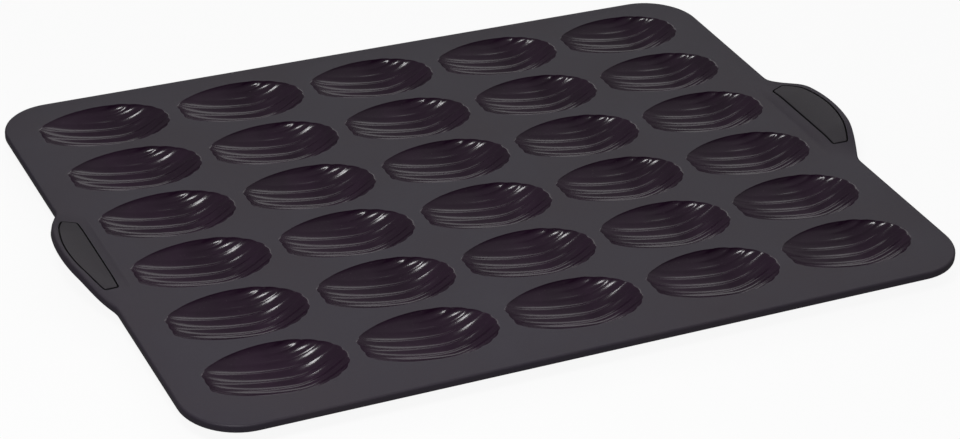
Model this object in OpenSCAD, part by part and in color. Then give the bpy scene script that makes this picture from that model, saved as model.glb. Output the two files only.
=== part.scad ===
// Flexible baking tray with a grid of shell shaped cavities and a lifting wing at each short end.
// Lengths are in millimetres. The feet of the cups stand on z = 0 and +Z is up.
// X runs along the cavities, from their narrow ends to their scalloped ends.

/* [Cavity grid] */
// Cavities along the length of the tray
columns = 5; // [1:1:6]
// Cavities across the width of the tray
rows = 6; // [1:1:8]
// Flat web between the ends of neighbouring cavities
column_web = 7.7; // [5:0.1:30]
// Flat web between the sides of neighbouring cavities
row_web = 7; // [5:0.1:30]
// Flat margin from the end cavities to the short edges
end_margin = 17.3; // [15:0.1:40]
// Flat margin from the front cavities to the front edge
front_margin = 17; // [10:0.1:40]
// Flat margin from the back cavities to the back edge
back_margin = 13; // [10:0.1:40]

/* [Cavity] */
// Distance from the cell centre to the narrow end
narrow_x = 33; // [28:0.1:36]
// Half the width of the narrow end
narrow_half = 6.8; // [5:0.1:9]
// Distance from the cell centre to the widest place
belly_x = 2; // [0:0.1:6]
// Half the width at the widest place
belly_half = 20.5; // [17:0.1:24]
// Distance from the cell centre to the scalloped tip
tip_x = 33.6; // [28:0.1:36]
// Depth of the cavity in the middle of a flute
cavity_depth = 12; // [9:0.1:18]
// Number of flutes across a cavity
flutes = 9; // [5:2:11]
// Half the angle of the scalloped end that the flutes take up
flute_angle = 75; // [60:1:80]
// Depth of a flute below the ridges beside it
flute_depth = 1.2; // [0.4:0.1:1.5]
// How far a flute bulges the ends of the outline
scallop = 0.5; // [0:0.1:0.8]
// Wall thickness of a cup
cup_wall = 1.2; // [1:0.1:1.6]

/* [Sheet and rim] */
// Thickness of the flat sheet between the cavities
sheet_t = 2; // [1.5:0.1:3]
// Thickness of the rim
rim_t = 4; // [3.5:0.1:6]
// Width of the thick rim
rim_w = 7; // [6:0.1:9]
// Radius of the tray's corners
corner_r = 28; // [20:0.5:40]
// Diameter of the steel wire inside the rim
wire_d = 2.4; // [1.6:0.1:2.6]
// Distance from the tray's edge to the centre of the wire
wire_inset = 3; // [2.6:0.1:4]

/* [Wings] */
// Distance from the short edge back to the crease where a wing starts
crease_inset = 9.7; // [8:0.1:12]
// Angle by which a wing rises outwards
wing_tilt = 21; // [16:1:30]
// Length of a wing from its crease to its tip
wing_reach = 21.7; // [18:0.1:30]
// Radius of a wing's outer edge
wing_r = 78; // [65:1:120]
// Thickness of a wing
wing_t = 4; // [3.8:0.1:6]
// Half the length of a wing at the crease
wing_root_half = 37; // [30:0.5:39]
// Half the length of a wing where it crosses the tray's edge
wing_edge_half = 44; // [40:0.5:48]

/* [Grip pads] */
// Width of the wing's rim round the curved edge of a pad
pad_border = 3.3; // [2.5:0.1:5]
// Half the length of a pad's straight edge
pad_root_half = 30.5; // [20:0.5:34]
// Half the length of a pad where its sides meet the curved edge
pad_side_half = 34.6; // [22:0.5:37]
// Distance from the crease to the place where the sides meet the curved edge
pad_side_reach = 9.6; // [6:0.1:12]
// Thickness of a pad
pad_t = 1; // [0.8:0.1:1.2]
// How far a pad stands proud of its wing
pad_proud = 0.2; // [0:0.1:0.4]
// Width of the groove round a pad
groove_w = 0.6; // [0.3:0.1:1.2]
// Thickness of the stiffening plate under a pad
plate_t = 1; // [0.6:0.1:1.4]
// How far the curved edge of a plate stays inside the edge of its pad
plate_inset = 1.6; // [1:0.1:4]
// Clearance between a plate and its pocket
plate_clearance = 0.1; // [0.05:0.05:0.3]

/* [Hidden] */
$fn = 96;
column_pitch = narrow_x + tip_x + column_web;
row_pitch = 2 * belly_half + row_web;
tray_l = (columns - 1) * column_pitch + narrow_x + tip_x + 2 * end_margin;
tray_w = (rows - 1) * row_pitch + 2 * belly_half + front_margin + back_margin;
tray_h = cavity_depth + cup_wall;
// The grid is set so that its outer cavities keep the margins
grid_x = (narrow_x - tip_x) / 2;
grid_y = (front_margin - back_margin) / 2;
// Place of the deepest section, as a share of the way from the widest place to the tip
deepest_share = 0.22;
deepest_x = belly_x + deepest_share * (tip_x - belly_x);
// How the floor rises from there to the narrow end, to the tip, and to both sides
narrow_power = 1.45;
narrow_round = 0.6;
tip_power = 2.1;
tip_round = 1.05;
across_power = 1.3;
across_round = 0.5;
// How the sides of the outline taper towards the narrow end
side_power = 1.8;
// Flutes beyond this angle fade out over this length of the side wall
full_flute_angle = 42;
fade_l = 20;
// How far the rounded underside would reach below the foot that cuts it flat
foot_cut = 3.2;
// Stations along a flute, for the cavity and for the underside, whose foot needs its own
stations = [0, 0.02, 0.1, 0.28, 0.5, 0.66, 0.8, 0.88, 0.94, 0.98, 1];
outside_stations = [0, 0.1, 0.22, 0.36, 0.5, 0.68, 0.8, 0.92, 1];
// Angles of the ridges and the middles of the flutes, between the two widest points of the
// outline; the underside uses every second one
flute_step = flute_angle / flutes;
angles = concat([-90], [for (i = [-flutes:flutes]) i * flute_step], [90]);
coarse_angles = [for (i = [0:2:len(angles) - 1]) angles[i]];
crease_x = tray_l / 2 - crease_inset;
recess_depth = pad_t - pad_proud;
pocket_depth = recess_depth + plate_t;
// Least silicone between a recess and the sheet under the wing's root
root_skin = 0.05;
// A recess starts where the wing has risen high enough above the sheet to hold it
recess_start = (recess_depth + root_skin) / tan(wing_tilt);
pad_start = recess_start + groove_w;
pocket_start = (pocket_depth + root_skin) / tan(wing_tilt);
plate_start = pocket_start + plate_clearance;

silicone = [0.26, 0.25, 0.27];
gloss_silicone = [0.2, 0.16, 0.2];
pad_silicone = [0.3, 0.29, 0.3];
steel = [0.72, 0.73, 0.75];

// Row 1 is at the front and column 1 at the left
function cup_name(r, c) = str("cup_r", r, "_c", c);
function cell_x(c) = grid_x + (c - (columns + 1) / 2) * column_pitch;
function cell_y(r) = grid_y + (r - (rows + 1) / 2) * row_pitch;

// Cavity surface. The flutes run straight along X, and an angle names each line: 0 in the middle
// and 90 at the widest point of the outline. u runs along a line from the narrow end (0) to the
// scalloped end (1). grow moves the outline outwards by a wall.
taper_length = (belly_x + narrow_x) / pow(1 - pow(narrow_half / belly_half, 2), 1 / side_power);
function half_width(x, grow) =
    let (reach = x > belly_x
            ? pow((x - belly_x) / (tip_x + grow - belly_x), 2)
            : pow((belly_x - x) / (taper_length + grow), side_power))
    (belly_half + grow) * sqrt(max(0, 1 - reach));
function narrow_end(angle, grow) =
    max(-narrow_x - grow, belly_x - (taper_length + grow) * pow(cos(angle), 2 / side_power));
function scalloped_end(angle, grow) = belly_x + (tip_x + grow - belly_x) * cos(angle);
function line_x(u, angle, grow) =
    (1 - u) * narrow_end(angle, grow) + u * scalloped_end(angle, grow);
function line_y(angle, grow) = (belly_half + grow) * sin(angle);
function fall(t, power, roundness) = pow(max(0, 1 - pow(abs(t), power)), roundness);
function share(x, y, grow) =
    (x < deepest_x
        ? fall((deepest_x - x) / (deepest_x + narrow_x + grow), narrow_power, narrow_round)
        : fall((x - deepest_x) / (tip_x + grow - deepest_x), tip_power, tip_round))
    * fall(min(1, abs(y) / max(half_width(x, grow), scallop)), across_power, across_round);
function channel(angle, x) =
    let (place = abs(angle) / flute_step / 2 + 0.5,
         full = abs(angle) < full_flute_angle ? 1 : min(1, max(0, (x - belly_x) / fade_l + 0.5)))
    abs(angle) > flute_angle ? 0 : full * (1 - pow(2 * (place - floor(place)) - 1, 2));
function inside_point(u, angle) =
    let (x = line_x(u, angle, 0), y = line_y(angle, 0), bulge = scallop * channel(angle, x))
    [x + (2 * u - 1) * bulge * cos(angle), y + u * bulge * sin(angle),
     -(cavity_depth - flute_depth * (1 - channel(angle, x))) * share(x, y, 0)];
function outside_point(u, angle) =
    let (x = line_x(u, angle, cup_wall), y = line_y(angle, cup_wall))
    [x, y, -min(tray_h, sheet_t + (tray_h + foot_cut - sheet_t) * share(x, y, cup_wall))];

// A patch of points: one for the first and the last angle, whose lines are points, and a line of
// points for each angle between
function patch(us, list, inside) = [
    for (k = [0:len(list) - 1])
        for (u = k == 0 || k == len(list) - 1 ? [0] : us)
            inside ? inside_point(u, list[k]) : outside_point(u, list[k])
];
// Number of the point at station j of line k
function spot(j, k, n_stations, n_angles) =
    k == 0 ? 0 : k == n_angles - 1 ? 1 + (n_angles - 2) * n_stations : 1 + (k - 1) * n_stations + j;
function boundary(n_stations, n_angles) = concat(
    [for (k = [0:n_angles - 1]) spot(0, k, n_stations, n_angles)],
    [for (k = [n_angles - 2:-1:1]) spot(n_stations - 1, k, n_stations, n_angles)]
);
// Faces of a patch seen from above, or from below
function patch_faces(n_stations, n_angles, first, above) = [
    for (k = [0:n_angles - 2], j = [0:n_stations - 2])
        let (a = spot(j, k, n_stations, n_angles), b = spot(j, k + 1, n_stations, n_angles),
             c = spot(j + 1, k, n_stations, n_angles), d = spot(j + 1, k + 1, n_stations, n_angles))
            for (f = [[a, b, d], [a, d, c]])
                if (f[0] != f[1] && f[1] != f[2] && f[2] != f[0])
                    above ? [first + f[0], first + f[1], first + f[2]]
                          : [first + f[0], first + f[2], first + f[1]]
];
outside_points = patch(outside_stations, coarse_angles, false);
outside_loop = boundary(len(outside_stations), len(coarse_angles));
cup_outline = [for (k = outside_loop) [outside_points[k][0], outside_points[k][1]]];

module cup_body() {
    inside = patch(stations, angles, true);
    collar = [for (p = cup_outline) [p[0], p[1], 0]];
    inside_loop = boundary(len(stations), len(angles));
    collar_first = len(inside);
    outside_first = collar_first + len(collar);
    n = len(outside_loop);
    lip_faces = [
        for (k = [0:n - 1])
            let (a = inside_loop[2 * k], m = inside_loop[2 * k + 1], b = inside_loop[(2 * k + 2) % (2 * n)],
                 c = collar_first + k, d = collar_first + (k + 1) % n)
            for (face = [[a, c, m], [c, d, m], [m, d, b]]) face
    ];
    collar_faces = [
        for (k = [0:n - 1])
            [collar_first + (k + 1) % n, collar_first + k,
             outside_first + outside_loop[k], outside_first + outside_loop[(k + 1) % n]]
    ];
    polyhedron(
        concat(inside, collar, outside_points),
        concat(
            patch_faces(len(stations), len(angles), 0, true),
            lip_faces,
            collar_faces,
            patch_faces(len(outside_stations), len(coarse_angles), outside_first, false)
        )
    );
}

module cup(r, c) {
    color(gloss_silicone) translate([cell_x(c), cell_y(r), tray_h]) cup_body();
}

// Rounded rectangle with its edge at the given distance inside the tray's edge
module tray_outline(inset) {
    l = tray_l - 2 * inset;
    w = tray_w - 2 * inset;
    r = corner_r - inset;
    square([l - 2 * r, w], center = true);
    square([l, w - 2 * r], center = true);
    for (x = [-1, 1], y = [-1, 1])
        translate([x * (l / 2 - r), y * (w / 2 - r)]) circle(r);
}

// Sweeps a section round the tray; x = 0 is the tray's edge, and what lies inside it has x below 0
module round_the_tray() {
    straight_x = tray_l - 2 * corner_r;
    straight_y = tray_w - 2 * corner_r;
    for (side = [0, 180]) {
        rotate([0, 0, side]) translate([straight_x / 2, -tray_w / 2, 0])
            rotate([90, 0, -90]) linear_extrude(straight_x) children();
        rotate([0, 0, side]) translate([tray_l / 2, straight_y / 2, 0])
            rotate([90, 0, 0]) linear_extrude(straight_y) children();
    }
    for (x = [0, 1], y = [0, 1])
        mirror([x, 0, 0]) mirror([0, y, 0])
            translate([tray_l / 2 - corner_r, tray_w / 2 - corner_r, 0])
                rotate_extrude(angle = 90) translate([corner_r, 0]) children();
}

module rim_section() {
    translate([-rim_t / 2, tray_h - rim_t / 2]) circle(rim_t / 2);
    translate([-rim_w, tray_h - rim_t]) square([rim_w - rim_t / 2, rim_t]);
}

module wire_section() {
    translate([-wire_inset, tray_h - rim_t / 2]) circle(wire_d / 2);
}

module tray_sheet() {
    color(silicone) difference() {
        union() {
            translate([0, 0, tray_h - sheet_t]) linear_extrude(sheet_t) tray_outline(rim_t / 2);
            round_the_tray() rim_section();
        }
        round_the_tray() wire_section();
        for (r = [1:rows], c = [1:columns])
            translate([cell_x(c), cell_y(r), tray_h - 2 * sheet_t])
                linear_extrude(3 * sheet_t) polygon(cup_outline);
    }
}

module rim_wire() {
    color(steel) round_the_tray() wire_section();
}

// Places its children on the right wing: x is the distance from the crease, z = 0 the top face
module on_wing() {
    translate([crease_x, 0, tray_h]) rotate([0, -wing_tilt, 0]) children();
}

module wing_outline() {
    edge_reach = crease_inset / cos(wing_tilt);
    intersection() {
        translate([wing_reach - wing_r, 0]) circle(wing_r);
        translate([0, -wing_r]) square([wing_reach, 2 * wing_r]);
        polygon([
            [0, -wing_root_half], [edge_reach, -wing_edge_half], [wing_reach, -wing_edge_half],
            [wing_reach, wing_edge_half], [edge_reach, wing_edge_half], [0, wing_root_half]
        ]);
    }
}

// Outline of a pad, moved outwards by grow, with its straight edge at root
module pad_outline(grow, root) {
    far = wing_reach + abs(grow);
    intersection() {
        translate([wing_reach - wing_r, 0]) circle(wing_r - pad_border + grow);
        polygon([
            [root, -pad_root_half - grow], [pad_side_reach, -pad_side_half - grow],
            [far, -pad_side_half - grow], [far, pad_side_half + grow],
            [pad_side_reach, pad_side_half + grow], [root, pad_root_half + grow]
        ]);
    }
}

module right_wing() {
    color(silicone) difference() {
        on_wing() difference() {
            translate([0, 0, -wing_t]) linear_extrude(wing_t) wing_outline();
            translate([0, 0, -recess_depth])
                linear_extrude(pad_t) pad_outline(groove_w, recess_start);
            translate([0, 0, -pocket_depth])
                linear_extrude(pocket_depth) pad_outline(plate_clearance - plate_inset, pocket_start);
        }
        // The sheet and rim lie below the wing's root
        translate([0, -tray_w / 2, tray_h - 2 * rim_t]) cube([tray_l / 2, tray_w, 2 * rim_t]);
    }
}

module right_plate() {
    color(steel) on_wing()
        translate([0, 0, -pocket_depth])
            linear_extrude(plate_t) pad_outline(-plate_inset, plate_start);
}

module right_pad() {
    color(pad_silicone) on_wing()
        translate([0, 0, -recess_depth]) linear_extrude(pad_t) pad_outline(0, pad_start);
}

tray_sheet();
rim_wire();
right_wing();  // wing_right
mirror([1, 0, 0]) right_wing();  // wing_left
right_plate();  // grip_plate_right
mirror([1, 0, 0]) right_plate();  // grip_plate_left
right_pad();  // grip_pad_right
mirror([1, 0, 0]) right_pad();  // grip_pad_left
for (r = [1:rows], c = [1:columns])
    cup(r, c);
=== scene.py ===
"""Looks of a flexible baking tray with a grid of shell shaped cavities.

Sizes in the classes are in millimetres and every mesh is in metres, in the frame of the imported
model: X runs along the cavities, from their narrow ends to their scalloped ends, Y to the back
and Z up from the feet of the cups.
"""

import logging
import math
from dataclasses import dataclass, field
from enum import Enum
from typing import Self

import bmesh
import bpy
import numpy as np
from mathutils import Matrix, Vector
from mathutils.geometry import delaunay_2d_cdt


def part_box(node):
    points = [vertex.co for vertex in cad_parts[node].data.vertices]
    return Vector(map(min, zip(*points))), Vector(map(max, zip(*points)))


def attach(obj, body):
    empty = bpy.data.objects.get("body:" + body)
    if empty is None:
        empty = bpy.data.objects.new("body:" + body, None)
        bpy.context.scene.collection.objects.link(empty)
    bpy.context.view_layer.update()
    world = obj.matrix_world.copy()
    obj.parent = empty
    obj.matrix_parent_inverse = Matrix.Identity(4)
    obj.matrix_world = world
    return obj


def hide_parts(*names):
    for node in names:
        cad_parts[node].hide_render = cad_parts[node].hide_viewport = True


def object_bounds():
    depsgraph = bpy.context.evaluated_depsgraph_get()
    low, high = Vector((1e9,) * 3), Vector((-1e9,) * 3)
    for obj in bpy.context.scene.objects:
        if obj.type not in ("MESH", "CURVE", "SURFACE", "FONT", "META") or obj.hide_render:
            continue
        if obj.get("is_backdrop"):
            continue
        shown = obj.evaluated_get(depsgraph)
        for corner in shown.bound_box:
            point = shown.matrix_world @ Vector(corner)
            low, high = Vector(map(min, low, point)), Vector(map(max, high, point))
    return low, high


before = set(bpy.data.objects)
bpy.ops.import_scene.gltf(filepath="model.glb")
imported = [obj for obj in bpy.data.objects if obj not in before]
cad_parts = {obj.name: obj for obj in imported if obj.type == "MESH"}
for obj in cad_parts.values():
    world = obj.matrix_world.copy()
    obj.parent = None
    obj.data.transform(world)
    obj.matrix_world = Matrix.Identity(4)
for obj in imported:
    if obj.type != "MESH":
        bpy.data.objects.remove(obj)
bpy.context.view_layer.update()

MM = 0.001
LOG = logging.getLogger("tray")
Points = np.ndarray
NO_POINTS = np.empty((0, 2))
SHARP_EDGE = math.radians(42)
CUP_SHARP_EDGE = math.radians(60)
SILICONE_IOR = 1.42
DUST_COLOUR = "#a39c9c"
DUST_GRAIN = 0.7


class Slot(Enum):
    """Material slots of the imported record."""

    MATTE = "matte_silicone"
    GLOSS = "gloss_silicone"
    PAD = "pad_silicone"
    WIRE = "spring_steel_wire"
    PLATE = "steel_plate"


class Side(Enum):
    """The two short ends of the tray, by the sign of X there."""

    LEFT = -1
    RIGHT = 1

    @property
    def word(self) -> str:
        """Name of the side as the nodes' names have it."""
        return self.name.lower()


# Nodes


def linear(colour: str) -> tuple[float, float, float, float]:
    """Turns an sRGB colour into the linear one that a shader takes.

    Args:
        colour: The colour as six hexadecimal digits after a hash sign.

    Returns:
        Red, green, blue and an alpha of 1.
    """
    parts = [int(colour[i:i + 2], 16) / 255 for i in (1, 3, 5)]
    lit = [v / 12.92 if v <= 0.04045 else ((v + 0.055) / 1.055) ** 2.4 for v in parts]
    return (lit[0], lit[1], lit[2], 1.0)


def add_node(tree: bpy.types.NodeTree, kind: str, settings: dict | None = None,
             inputs: dict | None = None) -> bpy.types.Node:
    """Adds a node to a tree with its settings and links.

    Args:
        tree: The node tree.
        kind: The node's type name.
        settings: Values for the node's own properties.
        inputs: For each input, by name or number, the socket to link or the value to set.

    Returns:
        The new node.
    """
    node = tree.nodes.new(kind)
    for name, value in (settings or {}).items():
        setattr(node, name, value)
    for name, value in (inputs or {}).items():
        if isinstance(value, bpy.types.NodeSocket):
            tree.links.new(value, node.inputs[name])
        else:
            node.inputs[name].default_value = value
    return node


def calc(tree: bpy.types.NodeTree, operation: str,
         *values: float | bpy.types.NodeSocket) -> bpy.types.NodeSocket:
    """Adds one step of arithmetic to a tree and returns its result.

    Args:
        tree: The node tree.
        operation: The name of the operation.
        values: The numbers or sockets that it works on.

    Returns:
        The socket that holds the result.
    """
    return add_node(tree, "ShaderNodeMath", {"operation": operation}, dict(enumerate(values))).outputs[0]


# Finishes


def empty_material(name: str) -> bpy.types.Material:
    """Makes a material without nodes."""
    material = bpy.data.materials.new(name)
    material.use_nodes = True
    material.node_tree.nodes.clear()
    return material


@dataclass(frozen=True)
class Silicone:
    """Moulded silicone rubber. It takes its sheen from the tool: blasted steel leaves it matte and
    soft, polished steel leaves it wet looking. The rubber is slightly uneven in tone, and picks up
    a little dust.

    Lengths are in millimetres.
    """

    name: str
    slot: Slot
    colour: str
    bloom: str
    bloom_size: float
    roughness: float
    roughness_spread: float
    grain: float
    grain_depth: float
    dust: float

    def build(self) -> bpy.types.Material:
        """Builds the material and returns it."""
        material = empty_material(self.name)
        tree = material.node_tree
        place = add_node(tree, "ShaderNodeTexCoord").outputs["Object"]
        cloud = add_node(tree, "ShaderNodeTexNoise", None, {
            "Vector": place, "Scale": 1 / (self.bloom_size * MM), "Detail": 4.0, "Roughness": 0.55})
        tone = add_node(tree, "ShaderNodeMapRange", {"interpolation_type": "SMOOTHSTEP"}, {
            "Value": cloud.outputs["Fac"], "From Min": 0.3, "From Max": 0.75})
        body = add_node(tree, "ShaderNodeMix", {"data_type": "RGBA"}, {
            0: tone.outputs[0], 6: linear(self.colour), 7: linear(self.bloom)})
        # Dust lies in grains of about a third of a millimetre, drawn at twice that so that it shows
        speck = add_node(tree, "ShaderNodeTexNoise", None, {
            "Vector": place, "Scale": 1 / (DUST_GRAIN * MM), "Detail": 1.0})
        dusty = add_node(tree, "ShaderNodeMapRange", {"interpolation_type": "SMOOTHSTEP"}, {
            "Value": speck.outputs["Fac"], "From Min": 0.70, "From Max": 0.78, "To Max": self.dust})
        face = add_node(tree, "ShaderNodeMix", {"data_type": "RGBA"}, {
            0: dusty.outputs[0], 6: body.outputs[2], 7: linear(DUST_COLOUR)})
        gloss = add_node(tree, "ShaderNodeMapRange", None, {
            "Value": cloud.outputs["Fac"],
            "From Min": 0.3,
            "From Max": 0.75,
            "To Min": self.roughness - self.roughness_spread,
            "To Max": self.roughness + self.roughness_spread})
        pitting = add_node(tree, "ShaderNodeTexNoise", None, {
            "Vector": place, "Scale": 1 / (self.grain * MM), "Detail": 2.0})
        relief = add_node(tree, "ShaderNodeBump", None, {
            "Height": pitting.outputs["Fac"], "Distance": self.grain_depth * MM, "Strength": 1.0})
        skin = add_node(tree, "ShaderNodeBsdfPrincipled", None, {
            "Base Color": face.outputs[2], "Roughness": gloss.outputs[0], "IOR": SILICONE_IOR,
            "Normal": relief.outputs["Normal"]})
        add_node(tree, "ShaderNodeOutputMaterial", None, {"Surface": skin.outputs[0]})
        return material


@dataclass(frozen=True)
class Steel:
    """Stainless steel, drawn into wire or rolled into strip: fine lines along its length."""

    name: str
    slot: Slot
    colour: str
    roughness: float
    line: float

    def build(self) -> bpy.types.Material:
        """Builds the material and returns it."""
        material = empty_material(self.name)
        tree = material.node_tree
        place = add_node(tree, "ShaderNodeTexCoord").outputs["Object"]
        along = add_node(tree, "ShaderNodeMapping", None, {"Vector": place, "Scale": (1.0, 0.04, 1.0)})
        lines = add_node(tree, "ShaderNodeTexNoise", None, {
            "Vector": along.outputs[0], "Scale": 1 / (self.line * MM), "Detail": 3.0})
        tint = add_node(tree, "ShaderNodeMapRange", None, {
            "Value": lines.outputs["Fac"], "From Min": 0.3, "From Max": 0.7, "To Min": 0.88, "To Max": 1.0})
        colour = add_node(tree, "ShaderNodeMix", {"data_type": "RGBA", "blend_type": "MULTIPLY"}, {
            0: 1.0, 6: linear(self.colour), 7: tint.outputs[0]})
        relief = add_node(tree, "ShaderNodeBump", None, {
            "Height": lines.outputs["Fac"], "Distance": 0.02 * MM})
        skin = add_node(tree, "ShaderNodeBsdfPrincipled", None, {
            "Base Color": colour.outputs[2], "Metallic": 1.0, "Roughness": self.roughness,
            "Normal": relief.outputs["Normal"]})
        add_node(tree, "ShaderNodeOutputMaterial", None, {"Surface": skin.outputs[0]})
        return material


# Dull dark grey that takes the light softly, so that the sheet looks flat and powdery
MATTE_TOP = Silicone(
    "matte_moulded_silicone", Slot.MATTE, "#2e2834", "#352e37", bloom_size=55.0,
    roughness=0.56, roughness_spread=0.05, grain=0.45, grain_depth=0.05, dust=0.10)
# Dark plum that shines, with small clear highlights in each flute
WET_CAVITY = Silicone(
    "polished_tool_silicone", Slot.GLOSS, "#221022", "#291529", bloom_size=18.0,
    roughness=0.21, roughness_spread=0.03, grain=1.6, grain_depth=0.009, dust=0.08)
# A shade more neutral than the sheet, so that the pads read as pieces of their own
SATIN_PAD = Silicone(
    "satin_pad_silicone", Slot.PAD, "#2c282e", "#322d33", bloom_size=20.0,
    roughness=0.56, roughness_spread=0.04, grain=0.35, grain_depth=0.04, dust=0.10)
# Nearly black: painted shade in the deep groove, which draws the thin dark line round each pad and on the
# pad's side that faces it
GROOVE_PAINTED_SHADE = Silicone(
    "painted_shade_groove_silicone", Slot.MATTE, "#0b090c", "#0e0b0f", bloom_size=10.0,
    roughness=0.7, roughness_spread=0.04, grain=0.35, grain_depth=0.04, dust=0.0)
# Bright metal with fine lines from the die and from the rolls
DRAWN_WIRE = Steel("drawn_stainless_wire", Slot.WIRE, "#b8babf", 0.28, 0.2)
ROLLED_PLATE = Steel("rolled_stainless_strip", Slot.PLATE, "#b8babf", 0.34, 0.3)


# Meshes


def hand_over(piece: bpy.types.Object, slot: Slot, *nodes: str) -> None:
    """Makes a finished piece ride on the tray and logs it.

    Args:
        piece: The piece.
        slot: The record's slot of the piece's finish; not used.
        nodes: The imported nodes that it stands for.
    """
    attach(piece, "root")
    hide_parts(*nodes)
    LOG.info("%s: %d faces, stands for %s", piece.name, len(piece.data.polygons), ", ".join(nodes))


def inside(points: Points, loop: Points) -> np.ndarray:
    """Tells which points lie inside a closed outline.

    Args:
        points: Points in the plane, one row each.
        loop: The outline's points in order.

    Returns:
        One truth value for each point.
    """
    x, y = points[:, :1], points[:, 1:2]
    ax, ay = loop[:, 0], loop[:, 1]
    bx, by = np.roll(ax, -1), np.roll(ay, -1)
    rise = np.where(by == ay, 1e-12, by - ay)
    crosses = ((ay > y) != (by > y)) & (x < ax + (y - ay) * (bx - ax) / rise)
    return crosses.sum(axis=1) % 2 == 1


def fill(loops: list[Points], extra: Points) -> np.ndarray:
    """Fills the flat region inside the first outline and outside the others with triangles.

    Args:
        loops: The outlines, as points in the plane.
        extra: More points that the triangles use.

    Returns:
        Triangles that run anticlockwise, as numbers into the outlines' points and then the extra ones.
    """
    points = np.vstack([*loops, extra.reshape(-1, 2)])
    owner = np.full(len(points), -1)
    edges = []
    first = 0
    for number, loop in enumerate(loops):
        count = len(loop)
        edges += [(first + i, first + (i + 1) % count) for i in range(count)]
        owner[first:first + count] = number
        first += count
    result = delaunay_2d_cdt([Vector(p) for p in points], edges, [], 1, 1e-6)
    sources = np.array([ids[0] for ids in result[3]])
    triangles = sources[np.array(result[2])]
    middles = points[triangles].mean(axis=1)
    keep = np.ones(len(triangles), bool)
    for number, loop in enumerate(loops):
        own = np.flatnonzero((owner[triangles] == number).all(axis=1))
        within = inside(middles[own], loop)
        keep[own] = within if number == 0 else ~within
    return triangles[keep]


@dataclass
class Shell:
    """Points and faces of a mesh while it is put together, in millimetres."""

    points: list = field(default_factory=list)
    faces: list = field(default_factory=list)
    finishes: list = field(default_factory=list)

    def add(self, points: Points) -> np.ndarray:
        """Adds points and returns their numbers."""
        first = len(self.points)
        self.points.extend(np.asarray(points).tolist())
        return np.arange(first, first + len(points))

    def plan(self, numbers: np.ndarray) -> Points:
        """Returns where the numbered points lie in plan."""
        return np.array([self.points[number][:2] for number in numbers])

    def band(self, upper: np.ndarray, lower: np.ndarray, finish: int = 0) -> None:
        """Joins two closed loops of as many points by a band of faces.

        Args:
            upper: The numbers of the upper loop's points, anticlockwise for a band that looks outwards.
            lower: The numbers of the lower loop's points.
            finish: Which of the piece's materials the faces have.
        """
        for i in range(len(upper)):
            j = (i + 1) % len(upper)
            self.faces.append([upper[i], lower[i], lower[j], upper[j]])
            self.finishes.append(finish)

    def patch(self, triangles: np.ndarray, numbers: np.ndarray, up: bool, finish: int = 0) -> None:
        """Adds triangles that look up or down.

        Args:
            triangles: The triangles, as places in the list of numbers.
            numbers: The numbers of the points.
            up: Whether the triangles look up.
            finish: Which of the piece's materials the faces have.
        """
        chosen = numbers[triangles]
        self.faces.extend((chosen if up else chosen[:, ::-1]).tolist())
        self.finishes.extend([finish] * len(chosen))

    def piece(self, name: str, *materials: bpy.types.Material) -> bpy.types.Object:
        """Makes the object.

        Args:
            name: The piece's name.
            materials: Its materials.

        Returns:
            The object, at the origin.
        """
        mesh = bpy.data.meshes.new(name)
        faces = [[int(number) for number in face] for face in self.faces]
        mesh.from_pydata((np.array(self.points) * MM).tolist(), [], faces)
        for material in materials:
            mesh.materials.append(material)
        mesh.polygons.foreach_set("material_index", self.finishes)
        mesh.polygons.foreach_set("use_smooth", [True] * len(faces))
        mesh.set_sharp_from_angle(angle=SHARP_EDGE)
        mesh.update()
        piece = bpy.data.objects.new(name, mesh)
        bpy.context.scene.collection.objects.link(piece)
        return piece


def softened(values: np.ndarray, blend: float) -> np.ndarray:
    """Returns the values above zero, with the corner at zero rounded over the blend's length."""
    near = np.clip(values, -blend, blend)
    return np.where(values > blend, values, (near + blend) ** 2 / (4 * blend))


def eased(t: np.ndarray) -> np.ndarray:
    """Returns a smooth step from 0 at t = 0 to 1 at t = 1."""
    t = np.clip(t, 0, 1)
    return t * t * (3 - 2 * t)


def normals_of(loop: Points) -> Points:
    """Returns the unit vectors that point out of an anticlockwise outline."""
    along = np.roll(loop, -1, axis=0) - np.roll(loop, 1, axis=0)
    along /= np.linalg.norm(along, axis=1, keepdims=True)
    return np.stack([along[:, 1], -along[:, 0]], axis=1)


# Cups


@dataclass(frozen=True)
class Amount:
    """A value in a node tree, with which plain arithmetic adds maths nodes."""

    tree: bpy.types.NodeTree
    socket: bpy.types.NodeSocket

    def calc(self, operation: str, *values: Self | float) -> Self:
        """Adds the maths node of a name for this value and others, and returns its result."""
        plain = [value.socket if isinstance(value, Amount) else value for value in (self, *values)]
        return Amount(self.tree, calc(self.tree, operation, *plain))

    def __add__(self, other: Self | float) -> Self:
        """Adds."""
        return self.calc("ADD", other)

    def __sub__(self, other: Self | float) -> Self:
        """Subtracts."""
        return self.calc("SUBTRACT", other)

    def __rsub__(self, other: float) -> Self:
        """Subtracts this value from a number."""
        return Amount(self.tree, calc(self.tree, "SUBTRACT", other, self.socket))

    def __mul__(self, other: Self | float) -> Self:
        """Multiplies."""
        return self.calc("MULTIPLY", other)

    def __truediv__(self, other: Self | float) -> Self:
        """Divides."""
        return self.calc("DIVIDE", other)

    def __pow__(self, other: float) -> Self:
        """Raises to a power."""
        return self.calc("POWER", other)

    def __abs__(self) -> Self:
        """Drops the sign."""
        return self.calc("ABSOLUTE")


def fall(t: Amount, power: float, roundness: float) -> Amount:
    """Falls from 1 at t = 0 to 0 at t = 1.

    Args:
        t: Where the value is taken.
        power: How late the fall begins.
        roundness: How steeply it ends: below 1 the end is blunt.

    Returns:
        The value there.
    """
    return (1.0 - t.calc("MINIMUM", 1.0) ** power) ** roundness


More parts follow.
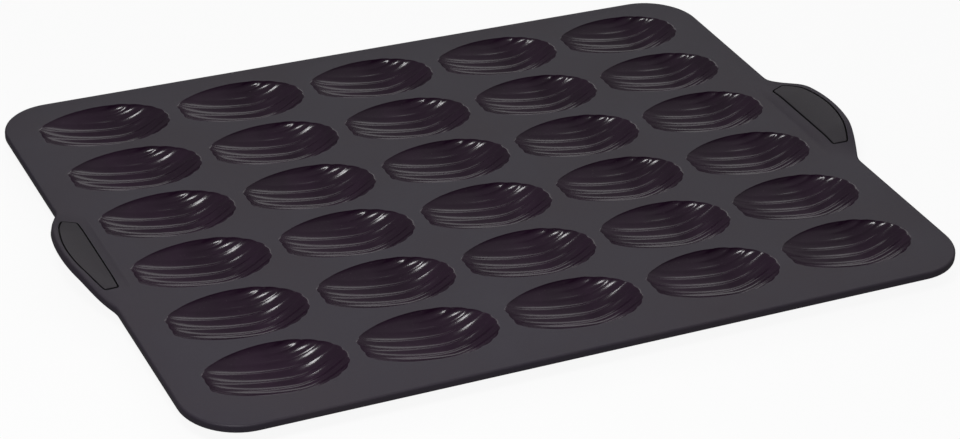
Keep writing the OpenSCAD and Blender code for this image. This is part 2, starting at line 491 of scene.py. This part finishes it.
@dataclass
class Cup:
    """One cup with its fluted cavity, made by a node tree around its cell's centre.

    Straight lines run along X, and an angle names each: 0 in the middle and 90 degrees at the widest
    point of the outline. The floor has one section all along, scaled to the outline's width.
    """

    narrow_x: float = 33.0
    narrow_half: float = 6.8
    belly_x: float = 2.0
    belly_half: float = 20.5
    tip_x: float = 33.6
    depth: float = 12.0
    flutes: int = 9
    flute_angle: float = 75.0
    flute_depth: float = 1.2
    scallop: float = 0.5
    wall: float = 1.2
    lip: float = 0.5
    sheet_t: float = 2.0
    deepest_share: float = 0.22
    narrow_power: float = 1.45
    narrow_round: float = 0.6
    tip_power: float = 2.1
    tip_round: float = 1.05
    across_power: float = 1.3
    across_round: float = 0.5
    side_power: float = 1.8
    full_flute_angle: float = 42.0
    fade: float = 20.0
    foot_cut: float = 3.2
    crowding: float = 0.72
    cells_along: int = 100
    cells_per_step: int = 4
    cells_beyond: int = 6

    def inputs(self) -> dict[str, float]:
        """Returns the sizes that the tree takes as named inputs, in metres."""
        return {
            "Narrow end": self.narrow_x * MM,
            "Widest place": self.belly_x * MM,
            "Half width": self.belly_half * MM,
            "Tip": self.tip_x * MM,
            "Depth": self.depth * MM,
            "Flute depth": self.flute_depth * MM,
            "Scallop": self.scallop * MM,
            "Wall": self.wall * MM,
            "Lip": self.lip * MM,
            "Sheet": self.sheet_t * MM,
            "Foot cut": self.foot_cut * MM,
        }

    def tree(self, matte: bpy.types.Material, gloss: bpy.types.Material) -> bpy.types.NodeTree:
        """Builds the node tree.

        Args:
            matte: The finish of the underside.
            gloss: The finish of the cavity.

        Returns:
            The tree, with the cell's place and the sizes as its inputs.
        """
        tree = bpy.data.node_groups.new("fluted_cup", "GeometryNodeTree")
        tree.interface.new_socket("Place", in_out="INPUT", socket_type="NodeSocketVector")
        for name, value in self.inputs().items():
            socket = tree.interface.new_socket(name, in_out="INPUT", socket_type="NodeSocketFloat")
            socket.default_value = value
        tree.interface.new_socket("Geometry", in_out="OUTPUT", socket_type="NodeSocketGeometry")
        given = add_node(tree, "NodeGroupInput").outputs
        size = {name: Amount(tree, given[name]) for name in self.inputs()}
        box = add_node(tree, "GeometryNodeMeshCube", None, {
            "Size": (1.0, 1.0, 1.0),
            "Vertices X": self.cells_along + 1,
            "Vertices Y": self.lines() + 1,
            "Vertices Z": 2})
        spot = self.spot(tree, size)
        faces = self.marked(tree, box.outputs["Mesh"])
        where = add_node(tree, "ShaderNodeCombineXYZ", None, {
            axis: value.socket for axis, value in enumerate(spot)})
        moved = add_node(tree, "ShaderNodeVectorMath", {"operation": "ADD"}, {
            0: where.outputs[0], 1: given["Place"]})
        shaped = add_node(tree, "GeometryNodeSetPosition", None, {
            "Geometry": faces, "Position": moved.outputs[0]})
        closed = add_node(tree, "GeometryNodeMergeByDistance", None, {
            "Geometry": shaped.outputs[0], "Distance": 1e-6})
        smooth = add_node(tree, "GeometryNodeSetShadeSmooth", None, {"Geometry": closed.outputs[0]})
        real = add_node(tree, "GeometryNodeRealizeInstances", None, {"Geometry": smooth.outputs[0]})
        dressed = add_node(tree, "GeometryNodeSetMaterial", None, {
            "Geometry": real.outputs[0], "Material": matte})
        cavity = add_node(tree, "GeometryNodeInputNamedAttribute", {"data_type": "BOOLEAN"}, {
            "Name": "cavity_face"})
        wet = add_node(tree, "GeometryNodeSetMaterial", None, {
            "Geometry": dressed.outputs[0], "Selection": cavity.outputs[0], "Material": gloss})
        add_node(tree, "NodeGroupOutput", None, {"Geometry": wet.outputs[0]})
        return tree

    @staticmethod
    def marked(tree: bpy.types.NodeTree, geometry: bpy.types.NodeSocket) -> bpy.types.NodeSocket:
        """Marks the box's upper faces, which become the cavity, and returns the marked geometry."""
        normal = add_node(tree, "GeometryNodeInputNormal").outputs[0]
        upright = Amount(tree, add_node(tree, "ShaderNodeSeparateXYZ", None, {0: normal}).outputs[2])
        return add_node(tree, "GeometryNodeStoreNamedAttribute", {"data_type": "BOOLEAN", "domain": "FACE"}, {
            "Geometry": geometry,
            "Name": "cavity_face",
            "Value": upright.calc("GREATER_THAN", 0.5).socket}).outputs[0]

    def steps(self) -> int:
        """Returns how many cells lie across the flutes."""
        return 2 * self.flutes * self.cells_per_step

    def lines(self) -> int:
        """Returns how many cells lie across the whole cavity."""
        return self.steps() + 2 * self.cells_beyond

    def spot(self, tree: bpy.types.NodeTree, size: dict[str, Amount]) -> tuple[Amount, Amount, Amount]:
        """Works out where a point of the box comes to lie.

        Args:
            tree: The node tree.
            size: The tree's sizes by name.

        Returns:
            X, Y and Z there, from the cell's centre on the sheet's upper face.
        """
        position = add_node(tree, "GeometryNodeInputPosition").outputs[0]
        at = add_node(tree, "ShaderNodeSeparateXYZ", None, {0: position}).outputs
        upper = Amount(tree, at[2]).calc("GREATER_THAN", 0.0)
        grow = (1.0 - upper) * size["Wall"]

        # Stations along a line lie closer together near its ends
        turn = Amount(tree, at[0]) + 0.5
        along = turn - (turn * (2 * math.pi)).calc("SINE") * (self.crowding / (2 * math.pi))
        # Lines lie on the ridges and between them, and a few more lie beyond the last flute
        spread = math.radians(self.flute_angle) / (self.steps() / 2)
        beyond = (math.pi / 2 - math.radians(self.flute_angle)) / self.cells_beyond - spread
        line = Amount(tree, at[1]) * float(self.lines())
        outer = (abs(line) - self.steps() / 2).calc("MAXIMUM", 0.0)
        angle = line * spread + outer * beyond * line.calc("SIGN")
        cosine = angle.calc("COSINE").calc("MAXIMUM", 0.0)
        sine = angle.calc("SINE")

        # Both ends of the line
        end_share = 1 - (self.narrow_half / self.belly_half) ** 2
        taper = (self.belly_x + self.narrow_x) / end_share ** (1 / self.side_power)
        taper_length = grow + taper * MM
        narrow_limit = (size["Narrow end"] + grow) * -1.0
        narrow_end = narrow_limit.calc(
            "MAXIMUM", size["Widest place"] - taper_length * cosine ** (2 / self.side_power))
        tip_length = size["Tip"] + grow - size["Widest place"]
        tip_end = size["Widest place"] + tip_length * cosine
        x = (1.0 - along) * narrow_end + along * tip_end
        half_belly = size["Half width"] + grow
        y = half_belly * sine

        # Half width of the outline at x
        ahead = x - size["Widest place"]
        towards_tip = (ahead / tip_length).calc("MAXIMUM", 0.0) ** 2.0
        towards_narrow = (ahead * -1.0 / taper_length).calc("MAXIMUM", 0.0) ** self.side_power
        half_width = half_belly * (1.0 - (towards_tip + towards_narrow)).calc("MAXIMUM", 0.0).calc("SQRT")

        # Share of the full depth: how far the floor has fallen along and across
        deepest = size["Widest place"] + (size["Tip"] - size["Widest place"]) * self.deepest_share
        before = (deepest - x).calc("MAXIMUM", 0.0) / (deepest - narrow_limit)
        after = (x - deepest).calc("MAXIMUM", 0.0) / (size["Tip"] + grow - deepest)
        across = abs(y) / half_width.calc("MAXIMUM", size["Scallop"])
        share = (fall(before, self.narrow_power, self.narrow_round)
                 * fall(after, self.tip_power, self.tip_round)
                 * fall(across, self.across_power, self.across_round))

        channel = self.channel(angle, ahead, spread)
        bulge = size["Scallop"] * channel * upper
        out_x = x + bulge * cosine * (along * 2.0 - 1.0)
        out_y = y + bulge * sine * along
        floor = self.floor(size, channel, share)
        height = size["Depth"] + size["Wall"]
        reach = height + size["Foot cut"] - size["Sheet"]
        under = height.calc("MINIMUM", size["Sheet"] + reach * share) * -1.0
        return out_x, out_y, upper * floor + (1.0 - upper) * under

    def channel(self, angle: Amount, ahead: Amount, spread: float) -> Amount:
        """Gives the flutes' pattern.

        Args:
            angle: The line's angle.
            ahead: How far the point lies ahead of the widest place.
            spread: The angle between two lines.

        Returns:
            A value that is 1 in the middle of a flute and 0 on the ridges.
        """
        step = math.radians(self.flute_angle) / self.flutes
        phase = (abs(angle) / (2 * step) + 0.5).calc("FRACT")
        swell = 1.0 - abs(phase * 2.0 - 1.0) ** 2.0
        steep = abs(angle).calc("GREATER_THAN", math.radians(self.full_flute_angle))
        faded = (ahead / (self.fade * MM) + 0.5).calc("MAXIMUM", 0.0).calc("MINIMUM", 1.0)
        kept = 1.0 - steep * (1.0 - faded)
        fluted = abs(angle).calc("LESS_THAN", math.radians(self.flute_angle) + spread / 2)
        return swell * kept * fluted

    @staticmethod
    def floor(size: dict[str, Amount], channel: Amount, share: Amount) -> Amount:
        """Gives the cavity's height, below zero.

        The lip is rounded: the floor leaves the sheet level and takes its own slope a little below.

        Args:
            size: The tree's sizes by name.
            channel: The flutes' pattern.
            share: Share of the full depth.

        Returns:
            The height there.
        """
        full = size["Depth"] - size["Flute depth"] * (1.0 - channel)
        plain = full * share / size["Lip"]
        rounded = (plain ** 3.0 + 1.0) ** (1 / 3) - 1.0
        return rounded * size["Lip"] * -1.0

    def piece(self, name: str, tree: bpy.types.NodeTree, place: Vector) -> bpy.types.Object:
        """Makes one cup at its place.

        Args:
            name: The piece's name.
            tree: The node tree.
            place: The cell's centre on the sheet's upper face, in metres.

        Returns:
            The cup as a plain mesh.
        """
        maker = bpy.data.objects.new("maker", bpy.data.meshes.new("maker"))
        bpy.context.scene.collection.objects.link(maker)
        modifier = maker.modifiers.new("cup", "NODES")
        modifier.node_group = tree
        sockets = {s.name: s.identifier for s in tree.interface.items_tree if s.in_out == "INPUT"}
        modifier[sockets["Place"]] = place
        for socket, value in self.inputs().items():
            modifier[sockets[socket]] = value
        maker.update_tag()
        bpy.context.view_layer.update()
        made = bpy.data.meshes.new_from_object(maker.evaluated_get(bpy.context.evaluated_depsgraph_get()))
        maker.modifiers.remove(modifier)
        bpy.data.objects.remove(maker)
        made.name = name
        made.set_sharp_from_angle(angle=CUP_SHARP_EDGE)
        # The ridges in the cavity stay smooth all along, or their highlights would break off
        mesh = bmesh.new()
        mesh.from_mesh(made)
        wet = max(face.material_index for face in mesh.faces)
        for edge in mesh.edges:
            if all(face.material_index == wet for face in edge.link_faces):
                edge.smooth = True
        mesh.to_mesh(made)
        mesh.free()
        piece = bpy.data.objects.new(name, made)
        bpy.context.scene.collection.objects.link(piece)
        return piece

    @staticmethod
    def rims(piece: bpy.types.Object) -> tuple[Points, Points]:
        """Reads the two edges at which a cup meets the sheet.

        Args:
            piece: A finished cup, whose second material is the cavity's.

        Returns:
            The lip and the edge below it, in millimetres, anticlockwise and point for point.
        """
        mesh = bmesh.new()
        mesh.from_mesh(piece.data)
        wet = max(face.material_index for face in mesh.faces)
        follow = {}
        for edge in mesh.edges:
            kinds = [face.material_index == wet for face in edge.link_faces]
            if len(kinds) == 2 and kinds[0] != kinds[1]:
                cavity = edge.link_faces[kinds.index(True)]
                for corner in cavity.loops:
                    if corner.edge == edge:
                        follow[corner.vert] = corner.link_loop_next.vert
        start = next(iter(follow))
        ring = [start]
        while follow[ring[-1]] != start:
            ring.append(follow[ring[-1]])
        below = []
        for vert in ring:
            partners = [edge.other_vert(vert) for edge in vert.link_edges
                        if edge.other_vert(vert) not in follow
                        and all(face.material_index != wet for face in edge.link_faces)]
            below.append(partners[0])
        lip = np.array([vert.co for vert in ring]) / MM
        lower = np.array([vert.co for vert in below]) / MM
        mesh.free()
        return lip, lower


# Moulding


@dataclass
class Moulding:
    """The sheet between the cups with its thick rim and the two raised wings."""

    corner_r: float = 28.0
    sheet_t: float = 2.0
    rim_t: float = 4.0
    rim_w: float = 7.0
    top_round: float = 1.2
    foot_round: float = 0.8
    foot_cover: float = 1.4
    crease_inset: float = 9.7
    fold_start: float = 1.7
    wing_reach: float = 22.8
    wing_rise: float = 8.25
    wing_half: float = 46.0
    wing_power: float = 2.05
    wing_fall: float = 32.0
    wing_run_out: float = 5.0
    crease_blend: float = 1.2
    crease_step: float = 0.55
    crease_step_l: float = 2.6
    root_blend: float = 1.3
    pad_start: float = 4.4
    pad_reach: float = 19.7
    pad_bow_r: float = 69.0
    pad_root_half: float = 30.7
    pad_side_half: float = 32.6
    pad_corner: float = 1.6
    pad_t: float = 1.0
    pad_proud: float = 0.15
    groove_w: float = 0.85
    recess: float = 1.85
    plate_inset: float = 1.6
    crease_root: float = 6.0
    near_half: float = 60.0
    rim_step: float = 1.25
    corner_cells: int = 16
    back_cells: int = 40
    wing_step_x: float = 1.1
    wing_step_y: float = 1.6
    wing_margin: float = 6.0
    clear: float = 0.6
    bow_points: int = 61
    pad_points: int = 240

    def __post_init__(self) -> None:
        """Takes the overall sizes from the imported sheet."""
        low, high = (np.array(corner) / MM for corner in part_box("tray_sheet"))
        self.length, self.width = high[0] - low[0], high[1] - low[1]
        self.top = high[2]
        self.crease_x = self.length / 2 - self.crease_inset
        self.tilt = math.asin(self.wing_rise / self.wing_reach)

    def lift(self, points: Points) -> np.ndarray:
        """Returns how far the upper face is raised above the sheet at each point.

        The wing leaves the sheet by a short step that is steeper than the wing, and then slopes a
        little less, so that its outer edge is as high as a plain slope's.
        """
        beyond = np.abs(points[:, 0]) - self.crease_x + self.fold_start
        ramp = softened(beyond, self.crease_blend)
        reach = self.wing_reach * math.cos(self.tilt)
        slope = (self.wing_rise - self.crease_step) / (reach + self.fold_start)
        step = self.crease_step * eased((beyond + self.crease_step_l / 2) / self.crease_step_l)
        left = self.wing_half + self.wing_run_out - np.abs(points[:, 1])
        ends = eased(left / self.wing_fall)
        return (slope * ramp + step) * ends

    def upright(self, points: Points) -> Points:
        """Returns the upper face's normals at the points."""
        near = 0.05
        dx = (self.lift(points + [near, 0]) - self.lift(points - [near, 0])) / (2 * near)
        dy = (self.lift(points + [0, near]) - self.lift(points - [0, near])) / (2 * near)
        normal = np.stack([-dx, -dy, np.ones(len(points))], axis=1)
        return normal / np.linalg.norm(normal, axis=1, keepdims=True)

    def at_height(self, points: Points, drop: float) -> Points:
        """Puts points of the plan on the upper face, or a wall's thickness below it."""
        z = self.top + self.lift(points) - drop / self.upright(points)[:, 2]
        return np.column_stack([points, z])

    def wing_beyond(self, y: np.ndarray) -> np.ndarray:
        """Returns how far a wing's outline lies beyond the tray's edge, which is negative past its ends."""
        reach = self.crease_x + math.cos(self.tilt) * self.wing_reach - self.length / 2
        return reach * (1 - np.abs(y / self.wing_half) ** self.wing_power)

    def foot(self, points: Points) -> Points:
        """Puts points of the plan on the underside of the rim and the wings.

        The rim's foot is level all round, so that it covers the wire, and a wing's underside rises from
        there to its outer edge.
        """
        start = self.length / 2 - self.foot_cover
        run = np.maximum(self.wing_beyond(points[:, 1]), 0) + self.foot_cover - self.foot_round
        share = np.clip((np.abs(points[:, 0]) - start) / run, 0, 1)
        level = self.top - self.rim_t
        edge = self.at_height(points, self.rim_t)[:, 2]
        return np.column_stack([points, level + share * (edge - level)])

    def outline(self, inset: float, winged: bool) -> Points:
        """Returns the tray's outline in plan, anticlockwise.

        Args:
            inset: How far inside the tray's edge it lies.
            winged: Whether it follows the wings.

        Returns:
            As many points for any inset, so that outlines can be joined point for point.
        """
        x, y, r = self.length / 2, self.width / 2, self.corner_r
        near = np.linspace(-self.near_half, self.near_half, round(2 * self.near_half / self.rim_step) + 1)
        far = np.linspace(-(y - r), -self.near_half, 8)[:-1]
        side = np.concatenate([far, near, -far[::-1]])
        wing = softened(self.wing_beyond(side), self.root_blend) if winged else np.zeros(len(side))
        right = np.column_stack([x + wing, side])
        angles = np.radians(np.linspace(0, 90, self.corner_cells + 1)[1:-1])
        corner = np.column_stack([x - r + r * np.cos(angles), y - r + r * np.sin(angles)])
        across = np.linspace(x - r, -(x - r), self.back_cells + 1)
        back = np.column_stack([across, np.full(len(across), y)])
        half = np.vstack([right, corner, back, corner[::-1] * [-1, 1]])
        loop = np.vstack([half, -half])
        return loop - normals_of(loop) * inset

    def edge(self, steps: list[tuple[float, float]]) -> list[Points]:
        """Sweeps the rim's section along the outline.

        Args:
            steps: The section's points: how far inside the edge and how far below the upper face.

        Returns:
            One loop of points in space for each step.
        """
        base = self.outline(0, True)
        up = self.upright(base)
        out = np.column_stack([normals_of(base), np.zeros(len(base))])
        out -= up * np.sum(out * up, axis=1, keepdims=True)
        out /= np.linalg.norm(out, axis=1, keepdims=True)
        start = self.at_height(base, 0)
        return [start - out * inwards - up * down for inwards, down in steps]

    def section(self) -> list[tuple[float, float]]:
        """Returns the rim's section from the upper face round the edge to the underside."""
        turns = np.radians(np.linspace(0, 90, 6))
        upper = [(self.top_round * (1 - math.sin(a)), self.top_round * (1 - math.cos(a))) for a in turns]
        lower = [(self.foot_round * (1 - math.cos(a)), self.rim_t - self.foot_round * (1 - math.sin(a)))
                 for a in turns]
        return upper + lower

    def wing_points(self, start: float, loops: list[Points]) -> Points:
        """Spreads points over the wings, clear of the outlines, so that the bend is smooth.

        Args:
            start: How far inside the crease the points begin.
            loops: The outlines that bound the region.

        Returns:
            Points in plan.
        """
        xs = np.arange(self.crease_x - start, self.length / 2 + self.wing_reach, self.wing_step_x)
        far = self.wing_half + self.wing_margin
        ys = np.linspace(-far, far, round(2 * far / self.wing_step_y) + 1)
        grid = np.array([(s * x, y) for s in (-1, 1) for x in xs for y in ys])
        keep = inside(grid, loops[0])
        for loop in loops[1:]:
            if np.abs(loop[:, 0]).max() > self.crease_x - start - 2:
                keep &= ~inside(grid, loop)
        grid = grid[keep]
        for loop in loops:
            close = loop[np.abs(loop[:, 0]) > self.crease_x - start - 5]
            if len(close):
                gap = np.min(np.linalg.norm(grid[:, None] - close[None], axis=2), axis=1)
                grid = grid[gap > self.clear]
        return grid

    def pad_outline(self, side: Side, grow: float) -> Points:
        """Returns a pad's outline in plan.

        Args:
            side: The end of the tray.
            grow: How far it is moved outwards.

        Returns:
            Its points, anticlockwise.
        """
        bow = np.linspace(-self.pad_side_half, self.pad_side_half, self.bow_points)
        out = self.pad_reach - self.pad_bow_r + np.sqrt(self.pad_bow_r ** 2 - bow ** 2)
        root = np.array([[self.pad_start, -self.pad_root_half], [self.pad_start, self.pad_root_half]])
        path = np.vstack([root[:1], np.column_stack([out, bow]), root[1:], root[:1]])
        lengths = np.concatenate([[0], np.cumsum(np.linalg.norm(np.diff(path, axis=0), axis=1))])
        spots = np.linspace(0, lengths[-1], self.pad_points, endpoint=False)
        loop = np.column_stack([np.interp(spots, lengths, path[:, k]) for k in (0, 1)])
        # A running average along the loop rounds its corners
        window = max(1, round(self.pad_corner / (lengths[-1] / self.pad_points) / 2))
        loop = sum(np.roll(loop, k, axis=0) for k in range(-window, window + 1)) / (2 * window + 1)
        loop = loop + normals_of(loop) * grow
        plan = np.column_stack([self.crease_x + loop[:, 0] * math.cos(self.tilt), loop[:, 1]])
        return plan if side is Side.RIGHT else (plan * [-1, 1])[::-1]

    def build(self, lips: list[Points], edges: list[Points], matte: bpy.types.Material,
              groove: bpy.types.Material) -> bpy.types.Object:
        """Builds the moulding around the cups.

        Args:
            lips: For each cup, the lip.
            edges: For each cup, the edge below the lip.
            matte: The finish.
            groove: The finish of the grooves round the pads: near black, painted shade.

        Returns:
            The piece.
        """
        shell = Shell()
        rings = [shell.add(points) for points in self.edge(self.section())]
        for upper, lower in zip(rings, rings[1:]):
            shell.band(upper, lower)
        lip_rings = [shell.add(lip) for lip in lips]
        edge_rings = [shell.add(edge) for edge in edges]
        for lip, edge in zip(lip_rings, edge_rings):
            shell.band(edge, lip)

        grooves = [self.pad_outline(side, self.groove_w) for side in Side]
        groove_rings = [shell.add(self.at_height(loop, 0)) for loop in grooves]
        bounds = [rings[0], *lip_rings, *groove_rings]
        loops = [shell.plan(ring) for ring in bounds]
        extra = self.wing_points(self.crease_root, loops)
        numbers = np.concatenate([*bounds, shell.add(self.at_height(extra, 0))])
        shell.patch(fill(loops, extra), numbers, True)
        # The groove's walls and floor take the second finish, near black as painted shade
        for loop, ring in zip(grooves, groove_rings):
            floor = shell.add(self.at_height(loop, self.recess))
            shell.band(floor, ring, 1)
            shell.patch(fill([loop], NO_POINTS), floor, True, 1)

        inner = self.outline(self.rim_w, False)
        inner_foot = shell.add(self.foot(inner))
        inner_step = shell.add(np.column_stack([inner, np.full(len(inner), self.top - self.sheet_t)]))
        shell.band(inner_foot, inner_step)
        loops = [shell.plan(rings[-1]), inner]
        extra = self.wing_points(0.0, loops)
        numbers = np.concatenate([rings[-1], inner_foot, shell.add(self.foot(extra))])
        shell.patch(fill(loops, extra), numbers, False)
        loops = [shell.plan(ring) for ring in (inner_step, *edge_rings)]
        shell.patch(fill(loops, NO_POINTS), np.concatenate([inner_step, *edge_rings]), False)
        return shell.piece("silicone_moulding", matte, groove)

    def pad(self, side: Side, finish: bpy.types.Material, groove: bpy.types.Material) -> bpy.types.Object:
        """Builds a grip pad that lies in its recess.

        Args:
            side: The end of the tray.
            finish: The pad's finish.
            groove: The finish of its side, which faces the groove: near black, painted shade.

        Returns:
            The piece.
        """
        shell = Shell()
        depth = self.pad_t - self.pad_proud
        # How far inside the outline and how far down: the side, and then a small round
        steps = ((0.0, depth), (0.0, 0.1), (0.06, -0.04), (0.2, -0.12), (0.45, -self.pad_proud))
        loops = [self.pad_outline(side, -shrink) for shrink, _ in steps]
        rings = [shell.add(self.at_height(loop, drop)) for loop, (_, drop) in zip(loops, steps)]
        # The pad's side, which faces the groove, takes the second finish, near black as painted shade
        for number, (lower, upper) in enumerate(zip(rings, rings[1:])):
            shell.band(upper, lower, 1 if number == 0 else 0)
        shell.patch(fill(loops[:1], NO_POINTS), rings[0], False)
        shell.patch(fill(loops[-1:], NO_POINTS), rings[-1], True)
        return shell.piece(f"grip_inlay_{side.word}", finish, groove)

    def plate(self, side: Side, finish: bpy.types.Material) -> bpy.types.Object:
        """Builds the steel plate that stiffens a wing, between its pad and the floor of the recess.

        Args:
            side: The end of the tray.
            finish: The plate's finish.

        Returns:
            The piece.
        """
        shell = Shell()
        loop = self.pad_outline(side, 0)
        low, high = loop.min(axis=0), loop.max(axis=0)
        loop = (low + high) / 2 + (loop - (low + high) / 2) * (1 - 2 * self.plate_inset / (high - low))
        upper, lower = (shell.add(self.at_height(loop, drop))
                        for drop in (self.pad_t - self.pad_proud, self.recess))
        shell.band(upper, lower)
        shell.patch(fill([loop], NO_POINTS), upper, True)
        shell.patch(fill([loop], NO_POINTS), lower, False)
        return shell.piece(f"stiffening_plate_{side.word}", finish)


# Room


@dataclass(frozen=True)
class Softbox:
    """A rectangular studio lamp that looks at the tray."""

    name: str
    place: tuple[float, float, float]
    size: tuple[float, float]
    watts: float

    def hang(self, target: Vector) -> None:
        """Hangs the lamp so that it looks at the target."""
        lamp = bpy.data.lights.new(self.name, "AREA")
        lamp.shape = "RECTANGLE"
        lamp.size, lamp.size_y = self.size
        lamp.energy = self.watts
        holder = bpy.data.objects.new(self.name, lamp)
        holder.location = self.place
        holder.rotation_euler = (target - Vector(self.place)).to_track_quat("-Z", "Y").to_euler()
        bpy.context.scene.collection.objects.link(holder)


@dataclass(frozen=True)
class Studio:
    """A pale floor, a white room and soft lamps."""

    floor_size: float = 8.0
    floor_colour: str = "#f4f4f4"
    floor_glow: float = 0.92
    wall_light: float = 0.09
    ceiling_light: float = 0.31
    lamps: tuple[Softbox, ...] = (
        Softbox("key", (-0.37, -0.45, 0.67), (0.21, 0.21), 3.4),
        Softbox("back_sheet", (1.2, 2.15, 1.95), (3.0, 1.1), 16.0),
        Softbox("right_sheet", (1.6, -0.1, 1.1), (2.0, 2.0), 1.8),
    )

    def build(self, target: Vector) -> None:
        """Lays the floor and hangs the lamps.

        Args:
            target: What the lamps look at.
        """
        half = self.floor_size / 2 / MM
        sheet = Shell()
        corners = sheet.add([(-half, -half, 0), (half, -half, 0), (half, half, 0), (-half, half, 0)])
        sheet.patch(np.array([(0, 1, 2), (0, 2, 3)]), corners, True)
        floor = sheet.piece("studio_floor", self.floor())
        # The room's own light reaches the tray's underside, as a white floor's would
        floor.visible_diffuse = False
        floor.visible_glossy = False
        floor.visible_shadow = False
        floor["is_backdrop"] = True
        for lamp in self.lamps:
            lamp.hang(target)
        world = bpy.data.worlds.new("studio_room")
        world.use_nodes = True
        bpy.context.scene.world = world
        tree = world.node_tree
        tree.nodes.clear()
        rays = add_node(tree, "ShaderNodeLightPath").outputs
        shown = calc(tree, "MAXIMUM", rays["Is Camera Ray"], rays["Is Transmission Ray"])
        # The walls are dimmer than the ceiling and the floor
        height = calc(tree, "ABSOLUTE", add_node(tree, "ShaderNodeSeparateXYZ", None, {
            0: add_node(tree, "ShaderNodeTexCoord").outputs["Generated"]}).outputs[2])
        lit = add_node(tree, "ShaderNodeMapRange", None, {
            "Value": height, "From Max": 0.9, "To Min": self.wall_light, "To Max": self.ceiling_light})
        strength = add_node(tree, "ShaderNodeMapRange", None, {
            "Value": shown, "To Min": lit.outputs[0], "To Max": 1.0})
        sky = add_node(tree, "ShaderNodeBackground", None, {
            "Color": (1.0, 1.0, 1.0, 1.0), "Strength": strength.outputs[0]})
        add_node(tree, "ShaderNodeOutputWorld", None, {"Surface": sky.outputs[0]})

    def floor(self) -> bpy.types.Material:
        """Builds the floor's finish: white paper that the camera sees a little brighter than it is."""
        material = empty_material("white_paper")
        tree = material.node_tree
        place = add_node(tree, "ShaderNodeTexCoord").outputs["Object"]
        fibre = add_node(tree, "ShaderNodeTexNoise", None, {"Vector": place, "Scale": 1 / (3 * MM)})
        tone = add_node(tree, "ShaderNodeMapRange", None, {
            "Value": fibre.outputs["Fac"], "To Min": 0.99, "To Max": 1.0})
        colour = add_node(tree, "ShaderNodeMix", {"data_type": "RGBA", "blend_type": "MULTIPLY"}, {
            0: 1.0, 6: linear(self.floor_colour), 7: tone.outputs[0]})
        paper = add_node(tree, "ShaderNodeBsdfDiffuse", None, {"Color": colour.outputs[2]})
        glow = add_node(tree, "ShaderNodeEmission", None, {"Color": (1.0, 1.0, 1.0, 1.0), "Strength": 1.0})
        rays = add_node(tree, "ShaderNodeLightPath").outputs
        seen = calc(tree, "MULTIPLY", rays["Is Camera Ray"], self.floor_glow)
        mix = add_node(tree, "ShaderNodeMixShader", None, {0: seen, 1: paper.outputs[0], 2: glow.outputs[0]})
        # Seen from below, the floor is left out so that the tray's underside shows
        below = add_node(tree, "ShaderNodeNewGeometry").outputs["Backfacing"]
        clear = add_node(tree, "ShaderNodeBsdfTransparent")
        sided = add_node(tree, "ShaderNodeMixShader", None, {
            0: below, 1: mix.outputs[0], 2: clear.outputs[0]})
        add_node(tree, "ShaderNodeOutputMaterial", None, {"Surface": sided.outputs[0]})
        return material


@dataclass(frozen=True)
class Viewpoint:
    """The photograph's camera, in metres from the middle of the tray's upper face."""

    offset: tuple[float, float, float] = (-0.5211, -1.0593, 0.6751)
    right: tuple[float, float, float] = (0.904988, -0.423321, 0.042383)
    up: tuple[float, float, float] = (0.182045, 0.475359, 0.860751)
    lens: float = 102.24
    sensor: float = 36.0

    def build(self, middle: Vector) -> None:
        """Places the camera.

        Args:
            middle: The middle of the tray's upper face.
        """
        data = bpy.data.cameras.new("camera")
        data.lens = self.lens
        data.sensor_width = self.sensor
        data.sensor_fit = "HORIZONTAL"
        data.clip_end = 50.0
        camera = bpy.data.objects.new("camera", data)
        right = Vector(self.right).normalized()
        back = right.cross(Vector(self.up)).normalized()
        axes = Matrix((right, back.cross(right), back)).transposed().to_4x4()
        camera.matrix_world = Matrix.Translation(middle + Vector(self.offset)) @ axes
        bpy.context.scene.collection.objects.link(camera)
        bpy.context.scene.camera = camera


def dress(node: str, finish: Steel) -> None:
    """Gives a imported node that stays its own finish.

    Args:
        node: The node's name.
        finish: The finish.
    """
    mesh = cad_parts[node].data
    mesh.materials.clear()
    mesh.materials.append(finish.build())
    LOG.info("%s keeps its solid, in %s", node, finish.name)


def main() -> None:
    """Builds the camera, the tray and the room."""
    logging.basicConfig(level=logging.INFO, format="%(name)s: %(message)s")
    view_settings = bpy.context.scene.view_settings
    view_settings.view_transform = "Standard"

    matte, gloss, groove = MATTE_TOP.build(), WET_CAVITY.build(), GROOVE_PAINTED_SHADE.build()
    pad_finish, plate_finish = SATIN_PAD.build(), ROLLED_PLATE.build()
    cup = Cup()
    moulding = Moulding()
    middle = Vector((0, 0, moulding.top)) * MM
    Viewpoint().build(middle)

    tree = cup.tree(matte, gloss)
    lips, edges = [], []
    pattern = None
    for node in sorted(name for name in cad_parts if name.startswith("cup_")):
        low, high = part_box(node)
        place = Vector((low[0] + (cup.narrow_x + cup.wall) * MM, (low[1] + high[1]) / 2, moulding.top * MM))
        piece = cup.piece(node.replace("cup", "fluted_cup"), tree, place)
        if pattern is None:
            pattern = [points - np.array(place) / MM for points in Cup.rims(piece)]
        lips.append(pattern[0] + np.array(place) / MM)
        edges.append(pattern[1] + np.array(place) / MM)
        hand_over(piece, Slot.GLOSS, node)

    hand_over(moulding.build(lips, edges, matte, groove), Slot.MATTE, "tray_sheet", "wing_left", "wing_right")
    for side in Side:
        hand_over(moulding.pad(side, pad_finish, groove), Slot.PAD, f"grip_pad_{side.word}")
        hand_over(moulding.plate(side, plate_finish), Slot.PLATE, f"grip_plate_{side.word}")
    dress("rim_wire", DRAWN_WIRE)
    Studio().build(middle)

    low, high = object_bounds()


if __name__ == "__main__":
    main()
